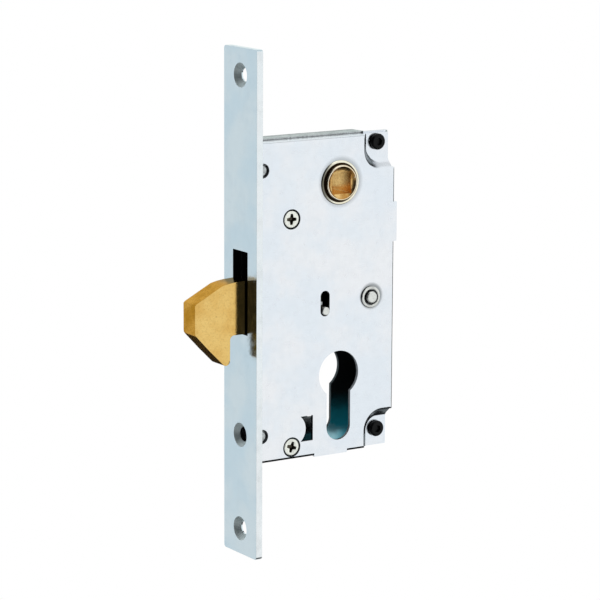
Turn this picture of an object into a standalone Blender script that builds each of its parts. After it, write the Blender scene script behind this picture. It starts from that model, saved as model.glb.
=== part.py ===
# Hook-bolt mortise lock for a sliding gate or door.
# Millimetres in the lock's own axes: x runs from the faceplate front into the door,
# y across the thickness (the removable cover faces -y), z up from the cylinder axis.
import math

import bmesh
import bpy
from mathutils import Vector
from mathutils.geometry import tessellate_polygon

for old in list(bpy.data.objects):
    bpy.data.objects.remove(old, do_unlink=True)

MM = 0.001
SEAT = (2.5, 0.0, 97.0)            # frame origin: back of the faceplate, above the case

# Faceplate
FP_T, FP_HALF = 2.5, 11.0
FP_TOP, FP_BOTTOM = 119.6, -63.4
FIX_TOP, FIX_CYL, FIX_BOTTOM = 109.9, -19.4, -54.1
BOLT_SLOT = (17.6, 47.6)
BOLT_SLOT_HALF = 5.0

# Case, 14 mm thick, 1.2 mm sheet
GAP = 0.3
CASE_X0, CASE_X1 = FP_T + GAP, 61.2
CASE_Z0, CASE_Z1 = -28.9, 86.6
CASE_HALF, SHEET = 7.0, 1.2
BEND = 0.8
COVER_RIM, SHELL_RIM = -2.5, -2.2  # where the two halves meet
INNER = CASE_HALF - SHEET

# Axes of the works
HUB = (37.5, 70.0)
CYL = (37.5, 0.0)
PIVOT = (51.0, 27.0)
GUIDE_PIN = (31.6, 23.7)
LIFT_PIN = (25.2, 41.0)
ARM_PIN = (25.2, 67.6)
LEVER = (56.0, 9.5)
PAWL = (20.0, 29.0)
COVER_SCREWS = {"upper": (17.1, 58.3), "lower": (17.5, -24.8)}
CORNERS = {"upper": (54.8, 83.3), "lower": (55.4, -22.8)}
PRESS_NEAR = {"upper": (47.6, 72.8), "lower": (48.4, -14.8)}
PRESS_RUN = {"upper": (3.2, 4.2), "lower": (3.2, 3.2)}
PRESS_FAR = {"upper": (51.0, 76.5), "lower": (51.2, -17.5)}
PRESS_FLOOR = 3.8
SHELL_FLOOR = -1.0
GUIDE_POSTS = [(23.6, 48.5), (23.6, 58.8)]
TRUNNIONS = {"top": (5.0, 76.5), "bottom": (4.8, -19.4)}

HOOK_HALF = 4.0
PLATE_NEAR = (-5.5, -4.3)          # thin plates between hook and cover
PLATE_FAR = (4.3, 5.5)             # thin plates between hook and case


def world(p):
    return Vector(((p[0] - SEAT[0]) * MM, (p[1] - SEAT[1]) * MM, (p[2] - SEAT[2]) * MM))


def material(name, colour, roughness, metallic):
    mat = bpy.data.materials.new(name)
    mat.use_nodes = True
    shader = mat.node_tree.nodes["Principled BSDF"]
    shader.inputs["Base Color"].default_value = (*colour, 1.0)
    shader.inputs["Roughness"].default_value = roughness
    shader.inputs["Metallic"].default_value = metallic
    return mat


FINISH = {
    "zinc": ((0.74, 0.77, 0.80), 0.38, 1.0),
    "steel": ((0.55, 0.56, 0.57), 0.35, 1.0),
    "dark_steel": ((0.22, 0.23, 0.24), 0.45, 1.0),
    "brass": ((0.80, 0.60, 0.28), 0.32, 1.0),
    "black": ((0.02, 0.02, 0.022), 0.35, 0.6),
    "spring": ((0.50, 0.50, 0.52), 0.25, 1.0),
}


def finish(name, bm, colour, origin=None, smooth=None):
    """Turns a bmesh in lock millimetres into a named object with its own material."""
    bmesh.ops.remove_doubles(bm, verts=bm.verts, dist=0.001)
    bmesh.ops.recalc_face_normals(bm, faces=bm.faces)
    base = world(origin) if origin else world(SEAT)
    for vert in bm.verts:
        vert.co = world(vert.co) - base
    mesh = bpy.data.meshes.new(name)
    bm.to_mesh(mesh)
    bm.free()
    obj = bpy.data.objects.new(name, mesh)
    obj.location = base
    bpy.context.scene.collection.objects.link(obj)
    if colour:
        rgb, rough, metal = FINISH[colour]
        mesh.materials.append(material(name + "_" + colour, rgb, rough, metal))
    if smooth:
        mesh.shade_smooth()
        mesh.set_sharp_from_angle(angle=math.radians(smooth))
    return obj


def arc(cx, cz, r, a0, a1, n):
    """n+1 points of an arc, angles in degrees."""
    out = []
    for i in range(n + 1):
        a = math.radians(a0 + (a1 - a0) * i / n)
        out.append((cx + r * math.cos(a), cz + r * math.sin(a)))
    return out


def circle(c, r, n=32):
    return arc(c[0], c[1], r, 0.0, 360.0 * (n - 1) / n, n - 1)


def round_rect(x0, z0, x1, z1, r, n=5):
    return (
        arc(x1 - r, z1 - r, r, 0, 90, n)
        + arc(x0 + r, z1 - r, r, 90, 180, n)
        + arc(x0 + r, z0 + r, r, 180, 270, n)
        + arc(x1 - r, z0 + r, r, 270, 360, n)
    )


def slot_loop(c0, c1, r, n=10):
    """Slot around the line from c0 to c1."""
    a = math.degrees(math.atan2(c1[1] - c0[1], c1[0] - c0[0]))
    return arc(*c1, r, a - 90, a + 90, n) + arc(*c0, r, a + 90, a + 270, n)


def euro_profile(c, r, slot_r, drop, n=40):
    """Cylinder hole: a round head with a narrower round-ended tail below it."""
    side = math.degrees(math.asin(slot_r / r))
    head = arc(c[0], c[1], r, 270 + side, 630 - side, n)
    return head + arc(c[0], c[1] - drop, slot_r, 180, 360, 12)


def put(p2, h, axis):
    """Point of a loop at height h along the axis it is extruded on."""
    if axis == "x":
        return (h, p2[0], p2[1])
    if axis == "z":
        return (p2[0], p2[1], h)
    return (p2[0], h, p2[1])


def slab(name, loops, lo, hi, colour, axis="y", origin=None, smooth=None):
    """Flat piece: the first loop is the outline, the others are holes through it."""
    bm = bmesh.new()
    flat = [p for loop in loops for p in loop]
    tris = tessellate_polygon([[Vector((p[0], p[1], 0.0)) for p in loop] for loop in loops])
    sides = []
    for h in (lo, hi):
        sides.append([bm.verts.new(put(p, h, axis)) for p in flat])
    for a, b, c in tris:
        bm.faces.new((sides[0][a], sides[0][b], sides[0][c]))
        bm.faces.new((sides[1][c], sides[1][b], sides[1][a]))
    start = 0
    for loop in loops:
        n = len(loop)
        for i in range(n):
            a, b = start + i, start + (i + 1) % n
            bm.faces.new((sides[0][a], sides[0][b], sides[1][b], sides[1][a]))
        start += n
    return finish(name, bm, colour, origin, smooth)


def prisms(name, loops, lo, hi):
    """Tool made of separate prisms, one for each loop."""
    bm = bmesh.new()
    for loop in loops:
        lower = [bm.verts.new((p[0], lo, p[1])) for p in loop]
        upper = [bm.verts.new((p[0], hi, p[1])) for p in loop]
        n = len(loop)
        for i in range(n):
            j = (i + 1) % n
            bm.faces.new((lower[i], lower[j], upper[j], upper[i]))
        bm.faces.new(lower[::-1])
        bm.faces.new(upper)
    return finish(name, bm, None)


def loft(name, rings, colour, axis="y", origin=None, smooth=None):
    """Closed solid through rings of equal length, each (height, loop)."""
    bm = bmesh.new()
    rows = [[bm.verts.new(put(p, h, axis)) for p in loop] for h, loop in rings]
    n = len(rows[0])
    for lower, upper in zip(rows, rows[1:]):
        for i in range(n):
            j = (i + 1) % n
            bm.faces.new((lower[i], lower[j], upper[j], upper[i]))
    bm.faces.new(rows[0][::-1])
    bm.faces.new(rows[-1])
    return finish(name, bm, colour, origin, smooth)


def turned(name, centre, profile, colour, axis="y", origin=None, n=24, smooth=35):
    """Turned piece: profile is (height, radius) pairs, solid when it starts and ends on
    the axis, a ring when the profile is closed (first pair equals the last)."""
    bm = bmesh.new()
    ring = profile[0] == profile[-1]
    points = profile[:-1] if ring else profile
    rows = []
    for h, r in points:
        if r == 0.0:
            rows.append([bm.verts.new(put(centre, h, axis))] * n)
            continue
        loop = circle(centre, r, n)
        rows.append([bm.verts.new(put(p, h, axis)) for p in loop])
    pairs = list(zip(rows, rows[1:]))
    if ring:
        pairs.append((rows[-1], rows[0]))
    for lower, upper in pairs:
        for i in range(n):
            j = (i + 1) % n
            corners = [lower[i], lower[j], upper[j], upper[i]]
            face = [v for k, v in enumerate(corners) if v not in corners[:k]]
            if len(face) > 2:
                bm.faces.new(face)
    return finish(name, bm, colour, origin, smooth)


def coil(name, centre, r, wire, z0, z1, turns, colour, origin=None, steps=12, sides=5):
    """Compression spring standing on z0 with closed, flattened end turns."""
    bm = bmesh.new()
    count = int(turns * steps)
    rows = []
    for i in range(count + 1):
        t = i / count
        a = 2 * math.pi * turns * t
        dead = 1.0 / turns
        u = min(max((t - dead * 0.8) / (1 - 1.6 * dead), 0.0), 1.0)
        z = z0 + wire + (z1 - z0 - 2 * wire) * u
        row = []
        for k in range(sides):
            b = 2 * math.pi * k / sides
            rr = r + wire * math.cos(b)
            row.append(
                bm.verts.new(
                    (
                        centre[0] + rr * math.cos(a),
                        centre[1] + rr * math.sin(a),
                        z + wire * math.sin(b),
                    )
                )
            )
        rows.append(row)
    for lower, upper in zip(rows, rows[1:]):
        for k in range(sides):
            m = (k + 1) % sides
            bm.faces.new((lower[k], lower[m], upper[m], upper[k]))
    bm.faces.new(rows[0][::-1])
    bm.faces.new(rows[-1])
    return finish(name, bm, colour, origin, 60)


def boolean(obj, tool, operation="DIFFERENCE"):
    mod = obj.modifiers.new(tool.name, "BOOLEAN")
    mod.operation = operation
    mod.solver = "EXACT"
    mod.object = tool
    tool.hide_render = True
    tool.display_type = "WIRE"
    return obj


def pin(name, c, y0, y1, r, colour, origin=None, n=20, chamfer=0.3):
    """Plain pin across the case with chamfered ends."""
    profile = [(y0, 0.0), (y0, r - chamfer), (y0 + chamfer, r)]
    profile += [(y1 - chamfer, r), (y1, r - chamfer), (y1, 0.0)]
    return turned(name, c, profile, colour, origin=origin, n=n)


def build_faceplate():
    outline = round_rect(-FP_HALF, FP_BOTTOM, FP_HALF, FP_TOP, 1.0, 4)
    slot = round_rect(-BOLT_SLOT_HALF, BOLT_SLOT[0], BOLT_SLOT_HALF, BOLT_SLOT[1], 0.4, 2)
    plate = slab("faceplate", [outline, slot], 0.0, FP_T, "zinc", axis="x", smooth=30)
    for k, (z, r) in enumerate(((FIX_TOP, 2.4), (FIX_CYL, 2.7), (FIX_BOTTOM, 2.4))):
        cone = [(-0.4, 0.0), (-0.4, 4.8), (4.4 - r, r), (4.0, r), (4.0, 0.0)]
        boolean(plate, turned("countersink_%d" % k, (0.0, z), cone, None, axis="x"))
    relief = round_rect(-FP_HALF - 2, CASE_Z0 - 1.6, FP_HALF + 2, CASE_Z1 + 1.6, 0.5, 1)
    boolean(plate, slab("back_relief", [relief], FP_T - 0.05, FP_T + 1.0, None, axis="x"))


def build_brackets():
    """Blocks behind the faceplate that carry it on trunnions in the case sides."""
    x, z = TRUNNIONS["top"]
    half = INNER - GAP
    block = round_rect(CASE_X0, z - 5.0, x + 5.5, z + 5.0, 0.8, 3)
    slab("forend_bracket_top", [block, circle((x, z), 1.9, 28)], -half, half, "steel", smooth=30)
    rivet = [(-6.6, 0.0), (-6.6, 1.8), (-6.3, 2.1), (-5.8, 2.1), (-5.8, 1.6), (5.8, 1.6)]
    rivet += [(5.8, 2.1), (6.3, 2.1), (6.6, 1.8), (6.6, 0.0)]
    turned("forend_rivet_top", (x, z), rivet, "zinc", n=28)
    x, z = TRUNNIONS["bottom"]
    block = round_rect(-half, z - 5.0, half, z + 5.0, 0.8, 3)
    body = slab(
        "forend_bracket_bottom", [block], CASE_X0, x + 5.5, "steel", axis="x", smooth=30
    )
    boolean(body, pin("bracket_trunnion", (x, z), -6.6, 6.6, 2.0, None), "UNION")
    bore = [(0.5, 0.0), (0.5, 2.7), (x + 8.0, 2.7), (x + 8.0, 0.0)]
    boolean(body, turned("bracket_bore", (0.0, z), bore, None, axis="x"))
    tube = [(x + 5.8, 2.7), (x + 5.8, 3.1), (31.0, 3.1), (31.0, 2.7), (x + 5.8, 2.7)]
    turned("screw_guide_tube", (0.0, z), tube, "zinc", axis="x", n=28)


def case_outline(inset=0.0, front=0.0):
    return round_rect(
        CASE_X0 + front, CASE_Z0 + inset, CASE_X1 - inset, CASE_Z1 - inset, 0.6, 2
    )


def bent_edge(y_face, y_rim):
    """Rings of a folded sheet box: flat face, small bend radius, straight rim."""
    sign = 1.0 if y_rim > y_face else -1.0
    rings = []
    for i in range(4):
        a = math.radians(30.0 * i)
        inset = BEND * (1.0 - math.sin(a))
        rings.append((y_face + sign * BEND * (1.0 - math.cos(a)), case_outline(inset)))
    rings.append((y_rim, case_outline()))
    return rings


def corner_press(key, name, grow, levels, corner, run, radius):
    """Tool shape of a pressed-in rear corner; levels are (y, share of the slope)."""
    x_edge, z_edge = corner
    rings = []
    for y, share in levels:
        dx = run[0] * (1.0 - share) - grow
        dz = run[1] * (1.0 - share) - grow
        r = radius - min(dx, dz)
        if key == "upper":
            loop = round_rect(x_edge + dx, z_edge + dz, CASE_X1 + 6, CASE_Z1 + 6, r, 8)
        else:
            loop = round_rect(x_edge + dx, CASE_Z0 - 6, CASE_X1 + 6, z_edge - dz, r, 8)
        rings.append((y, loop))
    return loft(name, rings, None)


def build_cover():
    cover = loft("case_cover", bent_edge(-CASE_HALF, COVER_RIM), "zinc", smooth=40)
    hollow = slab(
        "cover_hollow",
        [round_rect(CASE_X0 - 3, CASE_Z0 + SHEET, CASE_X1 - SHEET, CASE_Z1 - SHEET, 0.3, 1)],
        -INNER, COVER_RIM + 1.0, None,
    )
    depth = CASE_HALF - PRESS_FLOOR
    for key, corner in PRESS_NEAR.items():
        levels = [(y, (-PRESS_FLOOR - y) / depth) for y in (-1.0, -8.0)]
        keep = corner_press(key, "keep_" + key, 1.3, levels, corner, PRESS_RUN[key], 8.0)
        boolean(hollow, keep)
    boolean(cover, hollow)
    for key, corner in PRESS_NEAR.items():
        levels = [(y, (-PRESS_FLOOR - y) / depth) for y in (-PRESS_FLOOR, -7.6)]
        press = corner_press(key, "press_" + key, 0.0, levels, corner, PRESS_RUN[key], 8.0)
        boolean(cover, press)
        z0, z1 = (corner[1] + 1.0, CASE_Z1 + 2) if key == "upper" else (CASE_Z0 - 2, corner[1] - 1.0)
        trim = round_rect(60.3, z0, CASE_X1 + 3, z1, 0.3, 1)
        boolean(cover, slab("trim_" + key, [trim], -8.0, COVER_RIM + 1.0, None))
    tabs = {
        "rear_tab": (CASE_X1 - 3.0, 46.6, 62.3, 61.2),
        "bottom_tab": (27.2, CASE_Z0 - 0.9, 41.4, CASE_Z0 + 3.0),
    }
    for name, (x0, z0, x1, z1) in tabs.items():
        tab = slab(name, [round_rect(x0, z0, x1, z1, 0.25, 1)], -CASE_HALF, -INNER, None)
        boolean(cover, tab, "UNION")
    holes = {
        "hub_hole": circle(HUB, 7.95, 48),
        "profile_hole": euro_profile(CYL, 8.5, 5.1, 19.4),
        "guide_slot": slot_loop((31.45, 23.75), (31.45, 29.2), 1.95),
        "pivot_hole": circle(PIVOT, 2.7, 28),
        "upper_screw_hole": circle(COVER_SCREWS["upper"], 1.9, 24),
        "lower_screw_hole": circle(COVER_SCREWS["lower"], 1.9, 24),
        "upper_corner_hole": circle(CORNERS["upper"], 1.3, 24),
        "lower_corner_hole": circle(CORNERS["lower"], 1.3, 24),
    }
    for key, (x, z) in TRUNNIONS.items():
        holes[key + "_notch"] = circle((x, z), 2.65, 32)
    window = [(26.5, -23.3), (26.5, -14.0), (21.2, -14.0)]
    window += arc(17.4, -18.65, 6.0, 49, -49, 10) + [(21.2, -23.3)]
    holes["window"] = window
    boolean(cover, prisms("cover_holes", list(holes.values()), -9.0, COVER_RIM + 0.5))
    for key, c in COVER_SCREWS.items():
        cone = [(-7.3, 0.0), (-7.3, 3.95), (-7.0, 3.65), (-5.3, 2.0), (-5.3, 0.0)]
        boolean(cover, turned(key + "_dish", c, cone, None))
    return cover


def build_shell():
    shell = loft("case_shell", bent_edge(CASE_HALF, SHELL_RIM), "zinc", smooth=40)
    hollow = slab(
        "shell_hollow",
        [round_rect(CASE_X0 - 3, CASE_Z0 + SHEET, CASE_X1 - SHEET, CASE_Z1 - SHEET, 0.3, 1)],
        SHELL_RIM - 1.0, INNER, None,
    )
    depth = CASE_HALF - SHELL_FLOOR
    for key, corner in PRESS_FAR.items():
        levels = [(y, (y - SHELL_FLOOR) / depth) for y in (-4.0, 8.0)]
        boolean(hollow, corner_press(key, "far_keep_" + key, 1.3, levels, corner, (0.8, 0.8), 4.0))
    boolean(shell, hollow)
    for key, corner in PRESS_FAR.items():
        levels = [(y, (y - SHELL_FLOOR) / depth) for y in (SHELL_FLOOR, 7.6)]
        press = corner_press(key, "far_press_" + key, 0.0, levels, corner, (0.8, 0.8), 4.0)
        boolean(shell, press)
    holes = {
        "far_hub_hole": circle(HUB, 7.95, 48),
        "far_profile_hole": euro_profile(CYL, 8.5, 5.1, 19.4),
        "far_pivot_hole": circle(PIVOT, 2.7, 28),
        "far_lever_hole": circle(LEVER, 1.8, 24),
    }
    for key, c in TRUNNIONS.items():
        holes["far_%s_notch" % key] = circle(c, 2.65, 32)
    posts = dict(COVER_SCREWS)
    posts.update({"guide_%d" % k: c for k, c in enumerate(GUIDE_POSTS)})
    for key, c in posts.items():
        holes["far_%s_hole" % key] = circle(c, 1.8, 24)
    boolean(shell, prisms("shell_holes", list(holes.values()), INNER - 0.5, 9.0))
    clear = [circle(c, 1.3, 24) for c in CORNERS.values()]
    boolean(shell, prisms("shell_corner_holes", clear, SHELL_RIM - 1.0, SHELL_FLOOR + 1.0))
    return shell


def cross_recess(name, c, y_face, angle, size):
    """Cross-shaped driver recess."""
    loop = []
    w = 0.5
    for k in range(4):
        a = math.radians(angle + 90 * k)
        for s, t in ((size, -w * 0.8), (size, w * 0.8), (w, w)):
            x = c[0] + s * math.cos(a) - t * math.sin(a)
            z = c[1] + s * math.sin(a) + t * math.cos(a)
            loop.append((x, z))
    return slab(name, [loop], y_face - 0.5, y_face + 1.2, None)


def build_screws():
    for key, c in COVER_SCREWS.items():
        name = "cover_screw_" + key
        head = [(-6.95, 0.0), (-6.95, 2.95), (-6.75, 3.1), (-5.1, 1.3), (3.1, 1.3), (3.4, 1.0)]
        screw = turned(name, c, head + [(3.4, 0.0)], "zinc")
        turn = 3 if key == "upper" else -18
        boolean(screw, cross_recess(name + "_recess", c, -6.95, turn, 1.75))
        post = [(-4.6, 1.5), (-4.6, 2.1), (5.5, 2.1), (5.5, 1.5), (6.9, 1.5), (6.9, 0.0)]
        turned("cover_pillar_" + key, c, [(4.2, 0.0), (4.2, 1.5)] + post, "steel", n=16)
    for key, c in CORNERS.items():
        name = "corner_screw_" + key
        head = [(-5.7, 0.0), (-5.7, 2.6), (-5.3, 2.95), (-4.1, 2.95), (-4.1, 1.0)]
        screw = turned(name, c, head + [(1.5, 1.0), (1.8, 0.7), (1.8, 0.0)], "black")
        boolean(screw, slab(name + "_socket", [circle(c, 1.45, 6)], -6.8, -4.6, None))
        nut = [(-0.7, 1.3), (-0.7, 2.3), (1.2, 2.3), (1.5, 2.0), (1.5, 1.3), (-0.7, 1.3)]
        turned("corner_nut_" + key, c, nut, "steel", n=20)


def build_pivot():
    c = PIVOT
    profile = [(-8.6, 0.0), (-8.6, 1.9), (-8.2, 2.3), (6.9, 2.3), (7.2, 2.0), (7.2, 0.0)]
    turned("hook_pivot_post", c, profile, "steel")
    ring = [(-7.3, 2.9), (-7.7, 3.1), (-7.7, 3.7), (-7.3, 4.1), (-7.3, 2.9)]
    turned("pivot_collar", c, ring, "zinc", n=32)
    for name, (y0, y1) in (("pivot_washer_near", PLATE_NEAR), ("pivot_washer_far", PLATE_FAR)):
        washer = [(y0, 2.6), (y0, 5.4), (y1, 5.4), (y1, 2.6), (y0, 2.6)]
        turned(name, c, washer, "steel", n=20)


def hook_outline():
    """Beak, stem and tail of the hook bolt, seen from the cover side."""
    beak = [(-21.0, 30.3), (-20.4, 30.9), (-12.6, 34.9), (-9.8, 36.3), (-4.6, 37.2)]
    top = [(4.0, 37.5), (9.0, 36.2), (14.0, 34.0)]
    eye = arc(*PIVOT, 7.5, 96, -84, 18)
    under = [(40.0, 18.2), (-5.0, 18.2)]
    fillet = [(-5.9, 17.8), (-6.5, 16.8)]
    tip = [(-6.7, 9.0), (-7.3, 7.8), (-8.4, 7.5), (-9.4, 8.0)]
    slant = [(-14.9, 13.4), (-20.4, 19.3), (-21.0, 20.4)]
    return beak + top + eye + under + fillet + tip + slant


def build_hook():
    o = (PIVOT[0], 0.0, PIVOT[1])
    bore = circle(PIVOT, 3.3, 28)
    body = slab(
        "hook_bolt", [hook_outline(), bore], -HOOK_HALF, HOOK_HALF, "brass",
        origin=o, smooth=25,
    )
    x, z = LIFT_PIN
    ear = [(x - 4.5, z - 9.0), (x + 4.5, z - 9.0)] + arc(x, z, 3.4, 0, 180, 12)
    boolean(body, slab("hook_ear", [ear], -1.5, 1.5, None), "UNION")
    boolean(body, pin("ear_bore", (x, z), -3.0, 3.0, 1.9, None))
    boolean(body, pin("guide_bore", GUIDE_PIN, -6.0, 2.0, 1.9, None))
    pin("guide_pin", GUIDE_PIN, -7.6, 1.4, 1.6, "steel", o)
    pin("lift_pin", LIFT_PIN, -3.6, 3.6, 1.6, "steel", o)
    bush = [(-3.9, 2.6), (-3.9, 3.0), (3.9, 3.0), (3.9, 2.6), (-3.9, 2.6)]
    turned("hook_bushing", PIVOT, bush, "steel", origin=o, n=20)


def build_hub():
    o = (HUB[0], 0.0, HUB[1])
    profile = [(-8.4, 0.0), (-8.4, 6.6), (-8.0, 7.0), (-7.2, 7.6), (7.4, 7.6), (8.2, 7.0), (8.4, 0.0)]
    hub = turned("follower_hub", HUB, profile, "brass", origin=o, n=48)
    dish = [(-9.0, 0.0), (-9.0, 6.5), (-8.4, 6.2), (-6.9, 5.2), (-6.9, 0.0)]
    boolean(hub, turned("hub_dish", HUB, dish, None, n=48))
    square = round_rect(HUB[0] - 4.05, HUB[1] - 4.05, HUB[0] + 4.05, HUB[1] + 4.05, 0.2, 1)
    boolean(hub, slab("hub_square", [square], -12.0, 12.0, None))
    ax, az = ARM_PIN
    reach = math.dist(HUB, ARM_PIN)
    lean = math.degrees(math.atan2(az - HUB[1], ax - HUB[0])) % 360
    spread = math.degrees(math.acos((10.6 - 3.1) / reach))
    lower = arc(*HUB, 10.6, lean + spread - 360, -22, 16)
    tail = [(51.0, 66.4), (54.8, 66.4), (54.8, 69.6)]
    upper = arc(*HUB, 10.6, 34, lean - spread, 16)
    tip = arc(ax, az, 3.1, lean - spread, lean + spread, 10)
    slab(
        "follower_cam", [lower + tail + upper + tip, circle(HUB, 7.9, 48), circle(ARM_PIN, 1.9, 20)],
        -1.5, 1.5, "dark_steel", origin=o, smooth=30,
    )
    pin("cam_drive_pin", ARM_PIN, -3.6, 3.6, 1.6, "steel", o)


def build_slide():
    """Two cheeks that carry the follower's turn down to the ear of the hook."""
    o = (25.2, 0.0, 55.0)
    x0, x1 = 20.9, 29.4
    foot = [(x0, 37.8), (31.0, 37.8), (31.8, 38.6), (31.8, 44.0), (31.0, 44.8), (x1, 46.0)]
    head = [(x1, 71.0), (x1 - 1.0, 72.0), (x0 + 1.0, 72.0), (x0, 71.0)]
    lift = slot_loop((LIFT_PIN[0], LIFT_PIN[1]), (LIFT_PIN[0] + 3.0, LIFT_PIN[1]), 1.95, 8)
    arm = slot_loop((ARM_PIN[0] - 0.3, ARM_PIN[1]), (ARM_PIN[0] + 0.4, ARM_PIN[1]), 1.95, 8)
    loops = [foot + head, lift, arm]
    for gx, gz in GUIDE_POSTS:
        loops.append(slot_loop((gx, gz - 4.6), (gx, gz), 1.85, 8))
    loops.append(circle((27.6, 53.6), 1.4, 20))
    for name, y0, y1 in (("slide_cheek_near", -3.4, -1.8), ("slide_cheek_far", 1.8, 3.4)):
        slab(name, loops, y0, y1, "dark_steel", origin=o, smooth=30)
    rivet = [(-3.9, 0.0), (-3.9, 1.8), (-3.7, 2.0), (-3.6, 1.2), (-1.6, 1.2)]
    rivet += [(-1.6, 1.8), (1.6, 1.8), (1.6, 1.2), (3.6, 1.2), (3.7, 2.0), (3.9, 1.8)]
    turned("slide_spacer", (27.6, 53.6), rivet + [(3.9, 0.0)], "steel", origin=o, n=12)
    for key, c in zip(("lower", "upper"), GUIDE_POSTS):
        post = [(-5.4, 0.0), (-5.4, 1.5), (5.5, 1.5), (5.5, 1.5), (6.9, 1.5), (6.9, 0.0)]
        turned("slide_guide_" + key, c, post[:3] + post[4:], "steel", n=20)


def build_lever():
    """Lever lifted by the cylinder cam; its nose pushes up the underside of the hook."""
    o = (LEVER[0], 0.0, LEVER[1])
    eye = arc(*LEVER, 3.2, 62, -110, 14)
    under = [(47.2, 11.0), (44.4, 12.3), (25.6, 12.3), (21.4, 13.0)]
    nose = arc(21.9, 16.0, 1.6, 200, 90, 6) + [(23.2, 17.6), (24.6, 16.1)]
    top = [(46.6, 16.1)]
    slab(
        "key_lever", [eye + under + nose + top, circle(LEVER, 1.9, 20)], -2.0, 2.0,
        "dark_steel", origin=o, smooth=30,
    )
    for name, y0, y1 in (("lever_spacer_near", -5.5, -2.3), ("lever_spacer_far", 2.3, 5.5)):
        ring = [(y0, 1.9), (y0, 2.9), (y1, 2.9), (y1, 1.9), (y0, 1.9)]
        turned(name, LEVER, ring, "steel", n=16)
    profile = [(-5.5, 0.0), (-5.5, 1.3), (-5.2, 1.6), (6.9, 1.6), (6.9, 0.0)]
    turned("lever_pivot", LEVER, profile, "steel", n=20)


def build_pawl():
    """Small pawl lying over the guide pin, against the inside of the cover."""
    o = (PAWL[0], 0.0, PAWL[1])
    eye = arc(*PAWL, 2.9, 60, 290, 16)
    nose = [(26.0, 25.6), (30.6, 25.6), (31.2, 26.0), (31.2, 26.9), (27.6, 27.6)]
    slab(
        "detent_pawl", [eye + nose, circle(PAWL, 1.65, 20)], *PLATE_NEAR, "steel",
        origin=o, smooth=30,
    )
    stub = [(-5.5, 0.0), (-5.5, 1.35), (-4.3, 1.35), (-4.3, 0.0)]
    turned("pawl_stud", PAWL, stub, "steel", n=20)


def build_guides():
    """Wear strips either side of the hook just behind the faceplate."""
    for name, (y0, y1) in (("hook_guide_near", PLATE_NEAR), ("hook_guide_far", PLATE_FAR)):
        strip = round_rect(3.4, 14.0, 11.0, 52.0, 0.8, 3)
        slots = [round_rect(5.2, z, 9.2, z + 8.0, 0.8, 2) for z in (39.0,)]
        slab(name, [strip] + slots, y0, y1, "dark_steel", smooth=30)


def build_springs():
    seat = round_rect(34.0, -3.9, 43.0, 3.9, 1.0, 3)
    slab("hook_spring_seat", [seat], 50.2, 52.2, "steel", axis="z", smooth=30)
    coil("hook_spring", (38.5, 0.0), 2.6, 0.45, 34.4, 49.9, 5.5, "spring")
    seat = round_rect(49.4, -3.9, 57.0, 3.9, 1.0, 3)
    slab("hub_spring_seat", [seat], 48.2, 50.2, "steel", axis="z", smooth=30)
    coil("hub_spring", (53.1, 0.0), 2.4, 0.45, 50.5, 66.1, 5.5, "spring")


build_faceplate()
build_brackets()
build_cover()
build_shell()
build_screws()
build_pivot()
build_hook()
build_hub()
build_slide()
build_lever()
build_pawl()
build_guides()
build_springs()
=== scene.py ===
"""Studio scene of a zinc-plated mortise lock with a brass hook bolt.

Shapes are written in the lock's own millimetres: x into the door, y across the case with the cover
on the low side, z up from the middle of the cylinder hole. at() turns them into frame metres.
"""
import math

import bmesh
import bpy
from mathutils import Matrix, Vector
from mathutils.geometry import tessellate_polygon


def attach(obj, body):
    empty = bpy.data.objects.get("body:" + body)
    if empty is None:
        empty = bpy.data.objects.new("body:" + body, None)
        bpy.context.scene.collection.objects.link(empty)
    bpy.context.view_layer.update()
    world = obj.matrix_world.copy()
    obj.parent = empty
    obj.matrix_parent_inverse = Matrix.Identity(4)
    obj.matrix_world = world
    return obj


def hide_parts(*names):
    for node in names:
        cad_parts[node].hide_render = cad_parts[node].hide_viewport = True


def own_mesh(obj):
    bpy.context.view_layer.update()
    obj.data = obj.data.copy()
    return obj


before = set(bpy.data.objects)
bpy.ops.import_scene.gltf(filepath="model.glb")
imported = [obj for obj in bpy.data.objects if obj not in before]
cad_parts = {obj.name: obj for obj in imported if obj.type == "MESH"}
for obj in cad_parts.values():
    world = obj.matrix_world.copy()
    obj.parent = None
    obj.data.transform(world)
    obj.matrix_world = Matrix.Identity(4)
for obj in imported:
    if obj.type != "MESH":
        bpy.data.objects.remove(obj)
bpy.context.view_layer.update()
MM = 0.001
SEAT = (2.5, 0.0, 97.0)  # the frame's origin in the lock's own millimetres

# faceplate; holes are (height, radius)
FP_T, FP_HALF, FP_TOP, FP_BOTTOM = 2.5, 11.0, 119.6, -63.4
FP_HOLES = ((109.9, 2.4), (-19.4, 2.7), (-54.1, 2.4))
SLOT_HALF, SLOT_LOW, SLOT_HIGH = 5.0, 17.6, 47.6

# case: outline, faces of its two halves in y, and the rims where cover and tray meet
CASE_X0, CASE_X1, CASE_Z0, CASE_Z1 = 2.8, 61.5, -29.35, 86.85
COVER_TOP, LAP_END = 86.3, 50.5
SHEET, BEND = 1.2, 1.2
OUTER, INNER_SIDE = 7.0, 5.8
COVER_RIM, SHELL_RIM = -2.7, -1.6

# pressed-in rear corners, near ones in the cover and far ones in the tray: where the slope starts,
# its run in x and z, the floor's y, the radius of the corner and the rear end of the near floor
NEAR_PRESS = {"upper": (47.6, 72.8), "lower": (48.4, -14.8)}
NEAR_RUN = {"upper": (3.2, 4.2), "lower": (3.2, 3.9)}
NEAR_FLOOR, NEAR_RADIUS, NEAR_END = -3.8, 8.0, 60.3
FAR_PRESS = {"upper": (51.0, 76.5), "lower": (51.2, -17.5)}
FAR_RUN = (0.8, 0.8)
FAR_FLOOR, FAR_RADIUS = -1.0, 4.0
WALL = 1.3  # thickness left behind a pressed corner

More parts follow.
